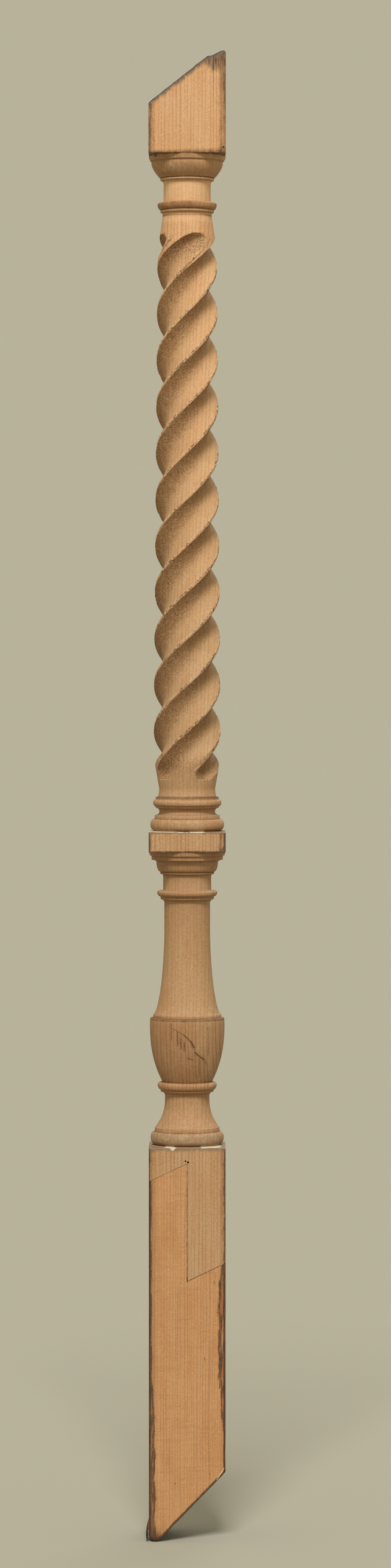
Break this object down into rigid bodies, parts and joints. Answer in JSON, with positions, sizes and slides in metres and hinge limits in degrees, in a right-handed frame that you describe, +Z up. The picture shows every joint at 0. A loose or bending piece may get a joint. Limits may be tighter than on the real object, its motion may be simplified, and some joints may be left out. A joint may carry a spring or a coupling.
{
  "type": "twisted stair baluster",
  "caption": "Softwood stair baluster with square raked ends, turned mouldings, a barley-twist shaft of hollow flutes and a scarfed new foot.",
  "frame": {"origin": "centre of the raked foot face, where the baluster sits on the stair's string or rail", "axes": "+Z up along the turning axis, +X to the right seen from the front (both rakes rise towards +X), -Y out of the front face"},
  "size_m": [0.0489, 0.047, 0.9092],
  "materials": {
    "aged_softwood": "stripped aged softwood, dry and unpolished, with dirt and traces of old paint",
    "foot_softwood": "stripped softwood, more orange, with dark varnish left on its edges"
  },
  "bodies": {
    "root": {"turned_spindle": "aged_softwood", "spliced_foot": "foot_softwood"}
  },
  "joints": []
}
